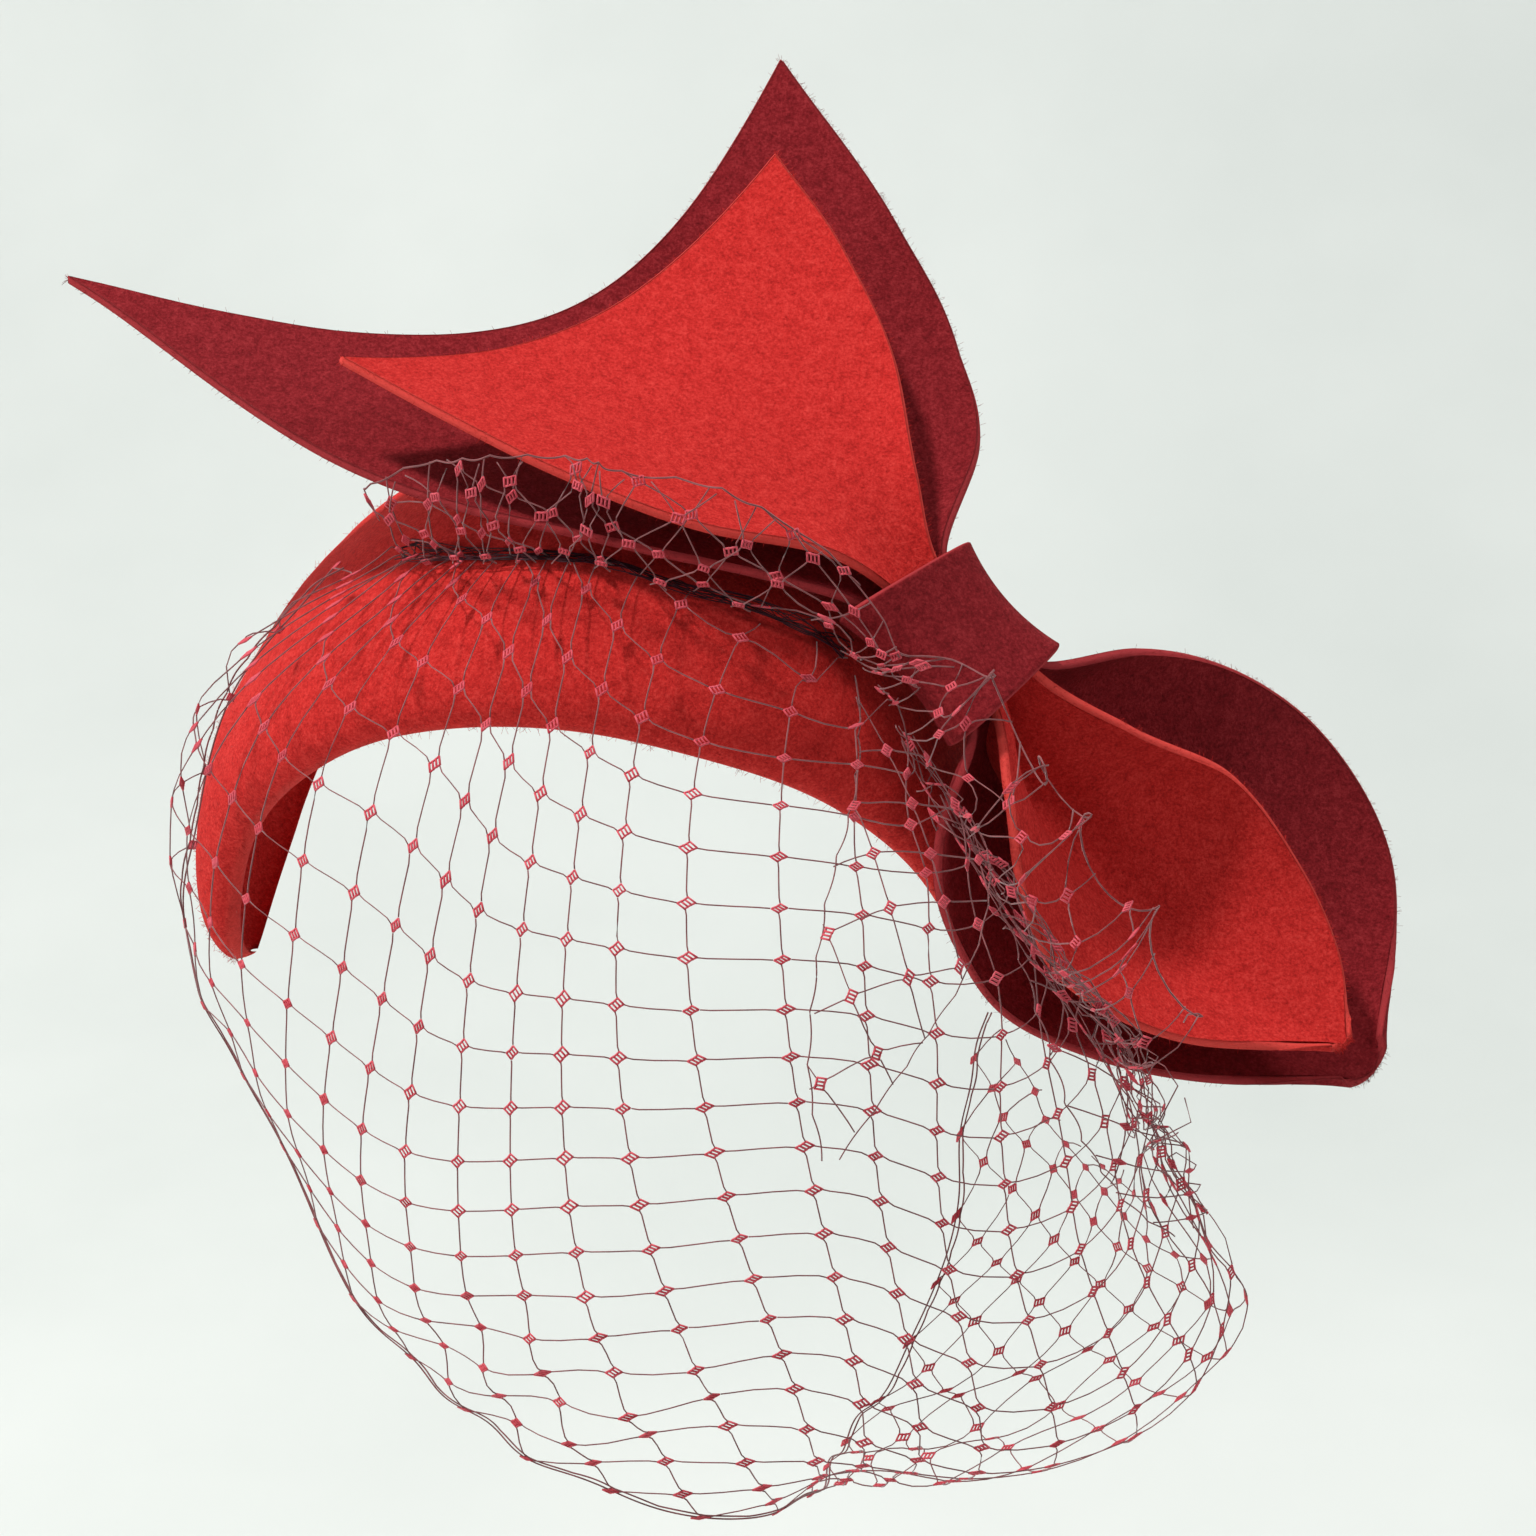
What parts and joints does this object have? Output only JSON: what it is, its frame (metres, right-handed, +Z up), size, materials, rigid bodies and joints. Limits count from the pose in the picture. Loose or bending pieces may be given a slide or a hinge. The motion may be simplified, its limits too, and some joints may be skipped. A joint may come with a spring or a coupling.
{
  "type": "tilt hat",
  "caption": "Felt tilt hat: a hollow crescent base worn at a slant, an asymmetric two-layer bow pinched in a band, and a netted face veil gathered along the base.",
  "frame": {"origin": "crown of the head that the hat is worn on, where the hat is carried", "axes": "+Z up, -Y the front (the wearer's face side), +X the wearer's left, where the bow is"},
  "size_m": [0.2764, 0.1891, 0.2763],
  "materials": {
    "felt_bright_red": "matt pressed wool felt, bright orange red",
    "felt_dark_red": "matt pressed wool felt, dark crimson",
    "net_dusty_red": "fine dull netting, dusty red"
  },
  "bodies": {
    "root": {"hat_base": "felt_bright_red", "bow_outer": "felt_dark_red", "bow_inner": "felt_bright_red", "bow_band": "felt_dark_red", "veil": "net_dusty_red"}
  },
  "joints": []
}
